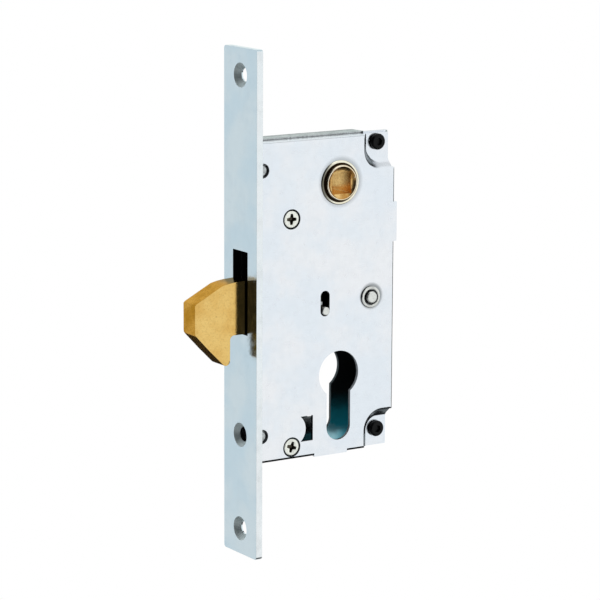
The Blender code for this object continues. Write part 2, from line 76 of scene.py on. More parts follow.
# centres of holes, pins and screws in x and z
HUB, CYL, PIVOT = (37.5, 70.0), (37.5, 0.0), (51.0, 27.0)
GUIDE_PIN, LIFT_PIN, LEVER = (31.6, 23.7), (25.2, 41.0), (56.0, 9.5)
COVER_SCREWS = {"upper": (17.1, 58.3), "lower": (17.5, -24.8)}
CROSS_TURN = {"upper": -3, "lower": -18}
CORNERS = {"upper": (55.2, 83.2), "lower": (55.8, -23.1)}
HEX_TURN = {"upper": 17, "lower": 41}
TRUNNIONS = {"top": (5.0, 76.5), "bottom": (4.8, -19.4)}
GUIDE_POSTS = [(23.6, 48.5), (23.6, 58.8)]

# holes: radii, the cylinder's tail, half the spindle square, both ends and radius of the guide slot
HUB_HOLE_R, PIVOT_HOLE_R, TRUNNION_R = 7.95, 2.7, 2.65
SCREW_HOLE_R, CORNER_HOLE_R, POST_HOLE_R = 1.9, 1.3, 1.8
CYL_R, TAIL_R, TAIL_DROP = 8.5, 5.1, 19.4
SQUARE = 4.05
GUIDE_SLOT = ((31.45, 23.75), (31.45, 29.2), 1.95)


def at(x, y, z):
    """Point of the frame in metres for lock millimetres."""
    return Vector(((x - SEAT[0]) * MM, (y - SEAT[1]) * MM, (z - SEAT[2]) * MM))


# ---------------------------------------------------------------- materials


class Graph:
    """Node tree of a material or a world."""

    def __init__(self, owner):
        owner.use_nodes = True
        self.tree = owner.node_tree

    def add(self, kind, **props):
        node = self.tree.nodes.new(kind)
        for key, value in props.items():
            setattr(node, key, value)
        return node

    def link(self, a, b):
        self.tree.links.new(a, b)

    def put(self, socket, value):
        if isinstance(value, bpy.types.NodeSocket):
            self.link(value, socket)
        else:
            socket.default_value = value

    def math(self, op, a, b=0.0):
        node = self.add("ShaderNodeMath", operation=op)
        self.put(node.inputs[0], a)
        self.put(node.inputs[1], b)
        return node.outputs[0]

    def ramp(self, value, low, high, to_low=0.0, to_high=1.0):
        """Smooth step from to_low at low to to_high at high."""
        node = self.add("ShaderNodeMapRange", interpolation_type="SMOOTHSTEP")
        self.put(node.inputs["Value"], value)
        node.inputs["From Min"].default_value = low
        node.inputs["From Max"].default_value = high
        node.inputs["To Min"].default_value = to_low
        node.inputs["To Max"].default_value = to_high
        return node.outputs["Result"]


class Surface(Graph):
    """One procedural material; its patterns are laid out in millimetres."""

    def __init__(self, name):
        self.mat = bpy.data.materials.new(name)
        super().__init__(self.mat)
        self.shader = self.tree.nodes["Principled BSDF"]
        coords = self.add("ShaderNodeTexCoord")
        self.mm = self.add("ShaderNodeMapping")
        self.mm.inputs["Scale"].default_value = (1 / MM, 1 / MM, 1 / MM)
        self.link(coords.outputs["Object"], self.mm.inputs["Vector"])

    def noise(self, scale, stretch=(1, 1, 1), detail=3.0, rough=0.55, offset=(0, 0, 0)):
        place = self.add("ShaderNodeMapping")
        place.inputs["Scale"].default_value = stretch
        place.inputs["Location"].default_value = offset
        self.link(self.mm.outputs["Vector"], place.inputs["Vector"])
        node = self.add("ShaderNodeTexNoise")
        node.inputs["Scale"].default_value = scale
        node.inputs["Detail"].default_value = detail
        node.inputs["Roughness"].default_value = rough
        self.link(place.outputs["Vector"], node.inputs["Vector"])
        return node.outputs["Fac"]

    def axis(self, letter):
        split = self.add("ShaderNodeSeparateXYZ")
        self.link(self.mm.outputs["Vector"], split.inputs[0])
        return split.outputs[letter]

    def ring(self, centre, inner, outer, depth):
        """Share of painted shade round a fitting: depth at the inner radius, none at the outer."""
        x = self.math("SUBTRACT", self.axis("X"), centre[0] - SEAT[0])
        z = self.math("SUBTRACT", self.axis("Z"), centre[1] - SEAT[2])
        square = self.math("ADD", self.math("MULTIPLY", x, x), self.math("MULTIPLY", z, z))
        return self.ramp(self.math("SQRT", square), inner, outer, depth, 0.0)

    def mix(self, factor, a, b):
        node = self.add("ShaderNodeMix", data_type="RGBA")
        self.put(node.inputs["Factor"], factor)
        self.put(node.inputs["A"], (*a, 1.0) if isinstance(a, tuple) else a)
        self.put(node.inputs["B"], (*b, 1.0) if isinstance(b, tuple) else b)
        return node.outputs["Result"]

    def bump(self, height, distance):
        node = self.add("ShaderNodeBump")
        node.inputs["Distance"].default_value = distance
        node.inputs["Strength"].default_value = 1.0
        self.put(node.inputs["Height"], height)
        return node.outputs["Normal"]

    def finish(self, colour, roughness, normal, metallic=1.0):
        self.put(self.shader.inputs["Base Color"], colour)
        self.put(self.shader.inputs["Roughness"], roughness)
        self.shader.inputs["Metallic"].default_value = metallic
        self.link(normal, self.shader.inputs["Normal"])
        return self.mat


ROLLING = (1, 1, 0.08)  # stretch of the rolling lines
# painted shade colours: the first darkens halos round fittings on the zinc, the second the shaded
# ends of brass parts
HALO_SHADE, BRASS_SHADE = (0.10, 0.11, 0.11), (0.045, 0.038, 0.025)
NO_BRASS_SHADE = (0.5, 4.0, 0.0, 0.0)
FINE_RELIEF, TOOL_RELIEF = 0.0000025, 0.000008  # metres


def zinc(name, cool, warm, dark, rough, far_bend_shade=False, rings=()):
    """Bright zinc plate over rolled steel.

    Cloudy tints, rolling lines, fine scratches and dull specks; the bend flag paints shade on the
    strip beside the tray's bend, and rings paint halos of shade round fittings.
    """
    n = Surface(name)
    clouds = n.ramp(n.noise(0.055, detail=4), 0.36, 0.64)
    tint = n.mix(clouds, cool, warm)
    smudge = n.ramp(n.noise(0.16, detail=5, offset=(31, 7, 12)), 0.48, 0.72, 0.0, 0.30)
    tint = n.mix(smudge, tint, dark)
    rolled = n.noise(2.2, stretch=ROLLING, detail=4, rough=0.7)
    tint = n.mix(n.ramp(rolled, 0.3, 0.7, 0.0, 0.10), tint, dark)
    speck = n.ramp(n.noise(3.4, detail=2, offset=(5, 5, 5)), 0.66, 0.74, 0.0, 0.16)
    tint = n.mix(speck, tint, dark)
    hair = n.noise(1.3, stretch=(0.05, 1, 3.1), detail=1, offset=(3, 9, 1))
    hairs = n.ramp(hair, 0.705, 0.72, 0.0, 1.0)
    hair2 = n.noise(1.1, stretch=(2.3, 1, 0.07), detail=1, offset=(13, 2, 8))
    hairs = n.math("MAXIMUM", hairs, n.ramp(hair2, 0.71, 0.722, 0.0, 1.0))
    cloudy = n.noise(0.35, detail=6, offset=(2, 4, 8))
    roughness = n.ramp(cloudy, 0.3, 0.7, rough - 0.06, rough + 0.08)
    roughness = n.math("ADD", roughness, n.math("MULTIPLY", hairs, 0.06))
    height = n.math("ADD", n.noise(3.5, detail=2), n.math("MULTIPLY", rolled, 0.5))
    height = n.math("SUBTRACT", height, n.math("MULTIPLY", hairs, 0.3))
    if far_bend_shade:
        place = n.axis("Y")
        # painted shade: a dark strip along the tray's far bend
        far_bend_mask = n.math("MULTIPLY", n.ramp(place, 3.2, 5.0), n.ramp(place, 6.6, 7.0, 1.0, 0.0))
        tint = n.mix(n.math("MULTIPLY", far_bend_mask, 0.62), tint, (0.05, 0.055, 0.055))
        mottle = n.ramp(n.noise(0.8, detail=5, offset=(6, 1, 9)), 0.35, 0.65, 0.0, 0.5)
        tint = n.mix(mottle, tint, dark)
    # painted shade: dark halos round the fittings
    for centre, inner, outer, depth in rings:
        tint = n.mix(n.ring(centre, inner, outer, depth), tint, HALO_SHADE)
    return n.finish(tint, roughness, n.bump(height, FINE_RELIEF))


def brass(
    name, light, deep, rough, lines=(0.06, 1.0, 4.0), grain=1.0, relief=0.000012, shade_end=NO_BRASS_SHADE,
):
    """Brass with dressing marks, a little casting grain and darker handling patches.

    The shade end is painted shade, a dark end along x: (from, to, share at from, share at to).
    """
    n = Surface(name)
    tint = n.mix(n.ramp(n.noise(0.12, detail=4), 0.35, 0.7), light, deep)
    dress = n.noise(1.6, stretch=lines, detail=6, rough=0.7)
    tint = n.mix(n.ramp(dress, 0.42, 0.72, 0.0, 0.42), tint, deep)
    pits = n.ramp(n.noise(2.6, detail=3, offset=(4, 8, 2)), 0.62, 0.72, 0.0, 0.45 * grain)
    tint = n.mix(pits, tint, tuple(0.45 * c for c in deep))
    # painted shade: the brass darkens towards one end along x
    tint = n.mix(n.ramp(n.axis("X"), *shade_end), tint, BRASS_SHADE)
    roughness = n.ramp(dress, 0.3, 0.75, rough - 0.04, rough + 0.08)
    cast = n.math("MULTIPLY", n.noise(3.2, detail=4), 0.8 * grain)
    height = n.math("ADD", n.math("MULTIPLY", dress, 1.2), cast)
    height = n.math("SUBTRACT", height, n.math("MULTIPLY", pits, 0.8))
    patches = n.ramp(n.noise(1.3, detail=5, offset=(7, 3, 1)), 0.45, 0.68, 0.0, 0.22 * grain)
    tint = n.mix(patches, tint, tuple(0.6 * c for c in deep))
    n.shader.inputs["Specular Tint"].default_value = (1.0, 0.82, 0.58, 1.0)
    return n.finish(tint, roughness, n.bump(height, relief))


def steel(name, light, dark, rough, lines=(1, 1, 1), scale=2.0):
    """Plain drawn or pressed steel with fine tool marks."""
    n = Surface(name)
    marks = n.noise(scale, stretch=lines, detail=5, rough=0.65)
    tint = n.mix(n.ramp(marks, 0.35, 0.7), light, dark)
    stain = n.ramp(n.noise(0.25, detail=4, offset=(9, 1, 6)), 0.5, 0.7, 0.0, 0.4)
    tint = n.mix(stain, tint, tuple(0.6 * c for c in dark))
    roughness = n.ramp(marks, 0.3, 0.7, rough - 0.05, rough + 0.1)
    return n.finish(tint, roughness, n.bump(marks, TOOL_RELIEF))


def black_oxide(name):
    """Black-oxide coating of the socket screws, with a little wear."""
    n = Surface(name)
    wear_and_highlight = n.ramp(n.noise(1.8, detail=5), 0.6, 0.75, 0.0, 0.6)
    tint = n.mix(wear_and_highlight, (0.004, 0.004, 0.005), (0.016, 0.016, 0.017))
    roughness = n.ramp(n.noise(0.9, detail=3, offset=(1, 5, 2)), 0.35, 0.65, 0.24, 0.4)
    height = n.noise(3.0, stretch=(1, 0.1, 1), detail=4)
    mat = n.finish(tint, roughness, n.bump(height, TOOL_RELIEF), metallic=0.0)
    n.shader.inputs["Specular IOR Level"].default_value = 0.14
    return mat


def tray_inside(name):
    """Inside of the tray: painted light at the foot, and painted shade, almost black, towards the
    mechanism.

    The foot also glows faintly as painted light for the light that falls in from behind. Levels are
    frame heights.
    """
    n = Surface(name)
    cloud = n.noise(0.22, detail=4)
    level = n.math("ADD", n.axis("Z"), n.math("MULTIPLY", cloud, 5.0))
    rise, fall = n.ramp(n.axis("X"), 34.0, 39.5), n.ramp(n.axis("X"), 41.0, 47.5, 1.0, 0.3)
    along = n.math("MULTIPLY", rise, fall)
    lit_foot = n.math("MULTIPLY", n.ramp(level, -118.8, -116.2, 1.0, 0.0), along)
    # painted light on the foot, painted shade above it and towards the mechanism
    tint = n.mix(lit_foot, (0.03, 0.50, 0.62), (0.40, 0.66, 0.72))
    tint = n.mix(n.ramp(level, -113.0, -104.0), tint, (0.006, 0.010, 0.012))
    tint = n.mix(n.ramp(n.axis("X"), 31.5, 35.5, 0.85, 0.0), tint, (0.010, 0.020, 0.024))
    roughness = n.ramp(n.noise(0.9, detail=4, offset=(3, 3, 1)), 0.3, 0.7, 0.35, 0.55)
    mat = n.finish(tint, roughness, n.bump(n.noise(1.5, detail=3), TOOL_RELIEF), metallic=0.0)
    # painted light: the foot and the window's base glow by emission
    foot = n.math("MULTIPLY", n.ramp(level, -121.5, -118.0, 0.42, 0.0), along)
    painted_glow = n.math("ADD", foot, n.ramp(level, -114.0, -109.0, 0.035, 0.0))
    n.link(tint, n.shader.inputs["Emission Color"])
    n.link(painted_glow, n.shader.inputs["Emission Strength"])
    return mat


# painted shade halos on the cover round the follower and the pivot: centre, inner and outer radius,
# depth
HALO_SHADE_RINGS = [((37.8, 70.2), 7.9, 9.9, 0.36), ((51.4, 27.3), 4.0, 5.4, 0.66)]
MAT = {
    "sheet": zinc(
        "zinc_sheet_cover", (0.80, 0.83, 0.89), (0.87, 0.86, 0.89), (0.76, 0.78, 0.83), 0.20,
        rings=HALO_SHADE_RINGS,
    ),
    "faceplate": zinc(
        "zinc_faceplate_strip", (0.66, 0.77, 0.83), (0.74, 0.81, 0.84), (0.60, 0.70, 0.76), 0.14,
    ),
    # the tray's zinc, made darker than the cover's as painted shade for its top and near rim
    "shell": zinc(
        "zinc_sheet_shell_shaded", (0.42, 0.48, 0.47), (0.50, 0.53, 0.52), (0.20, 0.23, 0.23), 0.28,
        far_bend_shade=True,
    ),
    # the faceplate's long sides: the strip's zinc made lighter as painted light
    "strip_edge": zinc(
        "zinc_strip_edge_lit", (0.84, 0.87, 0.90), (0.86, 0.87, 0.89), (0.62, 0.64, 0.66), 0.25,
    ),
    # painted shade: near-black sheet for the slot walls, the inside of the cover and the tray's
    # hole walls
    "inside": steel(
        "shaded_case_inside", (0.060, 0.075, 0.080), (0.030, 0.040, 0.045), 0.38, (1, 1, 0.2),
    ),
    # painted shade in the screws' cross recesses
    "recess": steel("screw_recess_shade", (0.20, 0.17, 0.13), (0.06, 0.05, 0.04), 0.5),
    "tray": tray_inside("tray_inside_lit_and_shaded"),
    "edge": steel(
        "sheared_sheet_edge", (0.30, 0.31, 0.33), (0.13, 0.135, 0.14), 0.42, (0.4, 3, 0.4),
    ),
    "cone": steel("countersink_zinc", (0.96, 1.00, 1.00), (0.60, 0.70, 0.70), 0.60, (1, 4, 4)),
    # painted shade along the cover's bottom bend
    "bend": steel("cover_bend_shade", (0.014, 0.016, 0.017), (0.008, 0.009, 0.010), 0.45),
    "screw": steel("zinc_screw", (0.98, 0.97, 0.90), (0.72, 0.71, 0.65), 0.28, scale=3.0),
    "rivet": steel("rivet_steel", (0.88, 0.87, 0.83), (0.57, 0.57, 0.56), 0.30, scale=4.0),
    "plain": steel("drawn_steel", (0.58, 0.60, 0.61), (0.34, 0.35, 0.36), 0.33, (1, 0.2, 1)),
    "dark": steel("oiled_pressed_steel", (0.16, 0.17, 0.18), (0.06, 0.065, 0.07), 0.42),
    "spring": steel("spring_wire", (0.50, 0.51, 0.53), (0.25, 0.25, 0.27), 0.22),
    # painted shade: the hook darkens where it runs into the case
    "hook": brass(
        "brass_hook", (0.82, 0.55, 0.19), (0.72, 0.43, 0.12), 0.08,
        relief=0.000007, shade_end=(0.5, 4.0, 0.0, 1.0),
    ),
    # painted shade: the hook's edges darken from a little in front of the faceplate into the case
    "cast": brass(
        "brass_hook_edges", (0.76, 0.40, 0.075), (0.52, 0.24, 0.02), 0.17, (1, 4, 1), 2.0,
        shade_end=(-12.0, -6.0, 0.0, 0.9),
    ),
    "hub": brass(
        "brass_follower", (0.92, 0.61, 0.25), (0.46, 0.21, 0.04), 0.22, (1, 3.0, 1), 1.2,
    ),
    # painted highlight: cream shoulder ring of the follower, its left part darkened as painted
    # shade
    "rim": brass(
        "brass_follower_shoulder_highlight", (0.97, 0.93, 0.80), (0.90, 0.82, 0.64), 0.16, (1, 3.0, 1), 0.4,
        shade_end=(28.0, 33.0, 0.85, 0.0),
    ),
    # worn front edge of the follower, made lighter still as a painted highlight
    "wear_and_highlight": brass(
        "brass_follower_edge_highlight", (0.96, 0.84, 0.66), (0.86, 0.70, 0.48), 0.16, (1, 3.0, 1), 0.4,
    ),
    # painted shade on the follower's outer wall
    "wall_shade": steel("follower_wall_shade", (0.090, 0.050, 0.020), (0.030, 0.016, 0.008), 0.40),
    # painted shade for the slopes of the pressed corners and the rear bend
    "press": zinc(
        "zinc_sheet_press_bend_shade", (0.21, 0.24, 0.25), (0.26, 0.28, 0.30), (0.10, 0.12, 0.13), 0.22,
    ),
    "black": black_oxide("black_oxide_screw"),
}

# ---------------------------------------------------------------- shapes

FULL_TURN = 360.0
SHARP = 30  # degrees; edges at least this sharp stay sharp in the shading
WELD = 0.0005  # millimetres


def arc(cx, cz, r, a0, a1, n):
    """Points of an arc, angles in degrees."""
    out = []
    for i in range(n + 1):
        a = math.radians(a0 + (a1 - a0) * i / n)
        out.append((cx + r * math.cos(a), cz + r * math.sin(a)))
    return out


def circle(c, r, n=96):
    return arc(c[0], c[1], r, 0.0, FULL_TURN * (n - 1) / n, n - 1)


def round_rect(x0, z0, x1, z1, r, n=8):
    return (
        arc(x1 - r, z1 - r, r, 0, 90, n)
        + arc(x0 + r, z1 - r, r, 90, 180, n)
        + arc(x0 + r, z0 + r, r, 180, 270, n)
        + arc(x1 - r, z0 + r, r, 270, 360, n)
    )


def slot_loop(c0, c1, r, n=24):
    """Outline of a slot with round ends at c0 and c1."""
    a = math.degrees(math.atan2(c1[1] - c0[1], c1[0] - c0[0]))
    return arc(*c1, r, a - 90, a + 90, n) + arc(*c0, r, a + 90, a + 270, n)


def cylinder_profile(n=96):
    """Outline of the profile-cylinder hole: round head and a narrow tail below it."""
    side = math.degrees(math.asin(TAIL_R / CYL_R))
    head = arc(*CYL, CYL_R, 270 + side, 630 - side, n)
    return head + arc(CYL[0], CYL[1] - TAIL_DROP, TAIL_R, 180, 360, 32)


def put(p2, h, axis):
    """Point of a flat outline at height h along the given axis."""
    if axis == "x":
        return (h, p2[0], p2[1])
    return (p2[0], h, p2[1])


def finish(name, bm, mat, smooth=SHARP):
    """Turns a bmesh in lock millimetres into an object of the scene."""
    bmesh.ops.remove_doubles(bm, verts=bm.verts, dist=WELD)
    bmesh.ops.recalc_face_normals(bm, faces=bm.faces)
    for vert in bm.verts:
        vert.co = at(*vert.co)
    mesh = bpy.data.meshes.new(name)
    bm.to_mesh(mesh)
    bm.free()
    obj = bpy.data.objects.new(name, mesh)
    bpy.context.scene.collection.objects.link(obj)
    if mat:
        mesh.materials.append(MAT[mat])
    mesh.shade_smooth()
    mesh.set_sharp_from_angle(angle=math.radians(smooth))
    return obj


def slab(name, loops, lo, hi, mat, axis="y"):
    """Flat piece with holes: the first loop is the outline."""
    bm = bmesh.new()
    flat = [p for loop in loops for p in loop]
    tris = tessellate_polygon([[Vector((p[0], p[1], 0.0)) for p in loop] for loop in loops])
    sides = [[bm.verts.new(put(p, h, axis)) for p in flat] for h in (lo, hi)]
    for a, b, c in tris:
        bm.faces.new((sides[0][a], sides[0][b], sides[0][c]))
        bm.faces.new((sides[1][c], sides[1][b], sides[1][a]))
    start = 0
    for loop in loops:
        n = len(loop)
        for i in range(n):
            a, b = start + i, start + (i + 1) % n
            bm.faces.new((sides[0][a], sides[0][b], sides[1][b], sides[1][a]))
        start += n
    return finish(name, bm, mat)


def loft(name, rings, mat):
    """Closed solid through rings of equal length, each (height in y, loop)."""
    bm = bmesh.new()
    rows = [[bm.verts.new(put(p, h, "y")) for p in loop] for h, loop in rings]
    n = len(rows[0])
    for lower, upper in zip(rows, rows[1:]):
        for i in range(n):
            j = (i + 1) % n
            bm.faces.new((lower[i], lower[j], upper[j], upper[i]))
    bm.faces.new(rows[0][::-1])
    bm.faces.new(rows[-1])
    return finish(name, bm, mat)


def prisms(name, loops, lo, hi, axis="y"):
    """One straight prism per loop, for use as a boolean tool."""
    bm = bmesh.new()
    for loop in loops:
        lower = [bm.verts.new(put(p, lo, axis)) for p in loop]
        upper = [bm.verts.new(put(p, hi, axis)) for p in loop]
        n = len(loop)
        for i in range(n):
            j = (i + 1) % n
            bm.faces.new((lower[i], lower[j], upper[j], upper[i]))
        bm.faces.new(lower[::-1])
        bm.faces.new(upper)
    return finish(name, bm, None)


def turned(name, centre, profile, mat, axis="y", n=72):
    """Turned piece from (height, radius) pairs; a ring when the profile closes on itself."""
    bm = bmesh.new()
    ring = profile[0] == profile[-1]
    points = profile[:-1] if ring else profile
    rows = []
    for h, r in points:
        if r == 0.0:
            rows.append([bm.verts.new(put(centre, h, axis))] * n)
            continue
        rows.append([bm.verts.new(put(p, h, axis)) for p in circle(centre, r, n)])
    pairs = list(zip(rows, rows[1:]))
    if ring:
        pairs.append((rows[-1], rows[0]))
    for lower, upper in pairs:
        for i in range(n):
            j = (i + 1) % n
            corners = [lower[i], lower[j], upper[j], upper[i]]
            face = [v for k, v in enumerate(corners) if v not in corners[:k]]
            if len(face) > 2:
                bm.faces.new(face)
    return finish(name, bm, mat)


def rounded(points, radius, steps=4):
    """Profile with the corners between its ends rounded off, for turned pieces."""
    most, least = 0.45, 0.01  # share of a side a corner may take, and the smallest radius kept
    out = [points[0]]
    for a, b, c in zip(points, points[1:], points[2:]):
        va, vc = Vector((a[0] - b[0], a[1] - b[1])), Vector((c[0] - b[0], c[1] - b[1]))
        r = min(radius, va.length * most, vc.length * most)
        if r < least:
            out.append(b)
            continue
        p, q = Vector(b) + va.normalized() * r, Vector(b) + vc.normalized() * r
        for i in range(steps + 1):
            t = i / steps
            s = (1 - t) ** 2 * p + 2 * t * (1 - t) * Vector(b) + t * t * q
            out.append((s.x, s.y))
    out.append(points[-1])
    return out


TOOLS = []


def boolean(obj, tool, operation="DIFFERENCE"):
    """Adds a boolean modifier; the tool is deleted once every piece is settled."""
    mod = obj.modifiers.new(tool.name, "BOOLEAN")
    mod.operation = operation
    mod.solver = "EXACT"
    mod.object = tool
    TOOLS.append(tool)


def soften(obj, width, segments=2, angle=30):
    """Small bevel on the sharp edges, its width in millimetres."""
    mod = obj.modifiers.new("soften", "BEVEL")
    mod.width = width * MM
    mod.segments = segments
    mod.limit_method = "ANGLE"
    mod.angle_limit = math.radians(angle)


def settle(obj, smooth=SHARP):
    """Applies the modifiers and evens the shading of flat faces."""
    bpy.context.view_layer.update()
    graph = bpy.context.evaluated_depsgraph_get()
    mesh = bpy.data.meshes.new_from_object(obj.evaluated_get(graph))
    obj.modifiers.clear()
    obj.data = mesh
    mesh.shade_smooth()
    mesh.set_sharp_from_angle(angle=math.radians(smooth))
    mod = obj.modifiers.new("even", "WEIGHTED_NORMAL")
    mod.keep_sharp = True
    mod.weight = 100
    return obj


def edge_faces(obj, mat, test):
    """Gives the faces that pass the test a further material."""
    obj.data.materials.append(MAT[mat])
    index = len(obj.data.materials) - 1
    for face in obj.data.polygons:
        if test(face):
            face.material_index = index


def lock_point(face):
    """Middle of a face in lock millimetres."""
    return face.center.x / MM + SEAT[0], face.center.y / MM, face.center.z / MM + SEAT[2]


def stands_for(obj, body, slot, *nodes):
    """Puts a piece on its body in place of the CAD nodes it draws."""
    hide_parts(*nodes)
    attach(obj, body)


# ---------------------------------------------------------------- faceplate


def build_faceplate():
    outline = round_rect(-FP_HALF, FP_BOTTOM, FP_HALF, FP_TOP, 1.1, 6)
    plate = slab("faceplate_strip", [outline], 0.0, FP_T, "faceplate", axis="x")
    soften(plate, 0.5, 3)
    for k, (z, r) in enumerate(FP_HOLES):
        # the dish is turned about the hole: (depth, radius) from in front of the face to behind it
        cone = [(-0.6, 0.0), (-0.6, 4.62), (-0.1, 4.52), (0.12, 4.28)]
        cone += [(4.4 - r, r), (4.0, r), (4.0, 0.0)]
        boolean(plate, turned("countersink_%d" % k, (0.0, z), cone, None, axis="x"))
    slot = round_rect(-SLOT_HALF, SLOT_LOW, SLOT_HALF, SLOT_HIGH, 0.4, 4)
    boolean(plate, prisms("slot_tool", [slot], -1.0, 4.0, axis="x"))
    settle(plate)

    def long_side(face):
        return abs(face.normal.y) > 0.75 and abs(lock_point(face)[1]) > FP_HALF - 0.2

    def countersink(face):
        return -0.97 < face.normal.x < -0.1 and abs(lock_point(face)[1]) < 6.0

    def slot_wall(face):
        _, y, z = lock_point(face)
        return abs(y) < SLOT_HALF + 0.2 and SLOT_LOW - 0.6 < z < SLOT_HIGH + 0.4

    # the long sides take the lighter zinc as painted light
    edge_faces(plate, "strip_edge", long_side)
    edge_faces(plate, "cone", countersink)
    # the slot's walls take painted shade
    edge_faces(plate, "inside", slot_wall)
    stands_for(plate, "case", "zinc_faceplate", "faceplate")


# ---------------------------------------------------------------- case


def case_outline(top, inset=0.0):
    """Outline of a half of the case, pulled in all round but at the faceplate."""
    return round_rect(CASE_X0, CASE_Z0 + inset, CASE_X1 - inset, top - inset, 0.6, 3)


def bent_edge(y_face, y_rim, top, steps=8):
    """Rings of a folded half of the case: round bend at the face, straight wall to the rim."""
    sign = 1.0 if y_rim > y_face else -1.0
    rings = []
    for i in range(steps + 1):
        a = math.radians(90.0 * i / steps)
        y = y_face + sign * BEND * (1.0 - math.cos(a))
        rings.append((y, case_outline(top, BEND * (1.0 - math.sin(a)))))
    rings.append((y_rim, case_outline(top)))
    return rings


def corner_press(key, name, grow, levels, corner, run, radius, reach=6):
    """Tool shape of a pressed-in rear corner; levels are (y, share of the slope)."""
    x_edge, z_edge = corner
    rings = []
    for y, share in levels:
        dx = run[0] * (1.0 - share) - grow
        dz = run[1] * (1.0 - share) - grow
        r = radius - min(dx, dz)
        if key == "upper":
            loop = round_rect(x_edge + dx, z_edge + dz, CASE_X1 + reach, CASE_Z1 + reach, r, 20)
        else:
            loop = round_rect(x_edge + dx, CASE_Z0 - reach, CASE_X1 + reach, z_edge - dz, r, 20)
        rings.append((y, loop))
    return loft(name, rings, None)


def eased(y_floor, y_face, beyond, steps=10):
    """Levels of a pressed slope with rounded foot and shoulder."""
    out = []
    for i in range(steps + 1):
        t = i / steps
        out.append((y_floor + (y_face - y_floor) * t * t * (3.0 - 2.0 * t), t))
    out.append((y_face + beyond, 1.0 + abs(beyond) * 0.6))
    return out


def hole_wall(far):
    """Test for the walls of the holes through one half of the case."""
    rear, margin = (2.5, 2.4) if far else (1.5, 1.4)

    def test(face):
        x, y, z = lock_point(face)
        if not (CASE_X0 + 0.4 < x < CASE_X1 - rear and CASE_Z0 + margin < z < CASE_Z1 - margin):
            return False
        return abs(face.normal.y) < 0.2 and (y if far else -y) > INNER_SIDE - 0.1

    return test


def inner_face(far):
    """Test for the faces on the inside of one half of the case."""
    skin = INNER_SIDE + 0.05

    def test(face):
        x, y, z = lock_point(face)
        if not (CASE_X0 + 0.2 < x < CASE_X1 - 0.9 and CASE_Z0 + 0.9 < z < COVER_TOP - 0.9):
            return False
        if far:
            return SHELL_RIM + 0.1 < y < skin and face.normal.y < 0.3
        return y > -skin and face.normal.y > -0.3 and not (y < -3.6 and face.normal.y < 0)

    return test


def press_bend(face):
    """The steep part of the pressed corners and the rear bend, which take painted shade."""
    x, y, z = lock_point(face)
    if x > CASE_X1 - 1.0:
        return face.normal.x > 0.45
    if x < 46.0 or not -OUTER + 0.05 < y < NEAR_FLOOR:
        return False
    if z > 68.0:
        return face.normal.x > 0.35
    return z < -10.0 and (face.normal.x > 0.2 or face.normal.z < -0.3)


def bend_shade(face):
    """Lowest part of the cover's bottom bend, which takes painted shade."""
    _, y, z = lock_point(face)
    return face.normal.z < -0.25 and z < CASE_Z0 + 1.3 and y < COVER_RIM


def tray_bright(face):
    """Far side of the tray, and its top and near side over the upper pressed corner: these keep the
    cover's zinc, without the tray's painted shade.
    """
    x, y, z = lock_point(face)
    if face.normal.y > 0.9:
        return True
    top = z > CASE_Z1 - 1.5 and face.normal.z > 0.5
    near = z > 70.0 and face.normal.y < -0.9 and y < -0.5
    return x > LAP_END and (top or near)


def lap_step(face):
    """Bottom of the notch that the cover's top edge lies over."""
    return face.normal.y < -0.9 and -1.0 < lock_point(face)[1] < -0.8


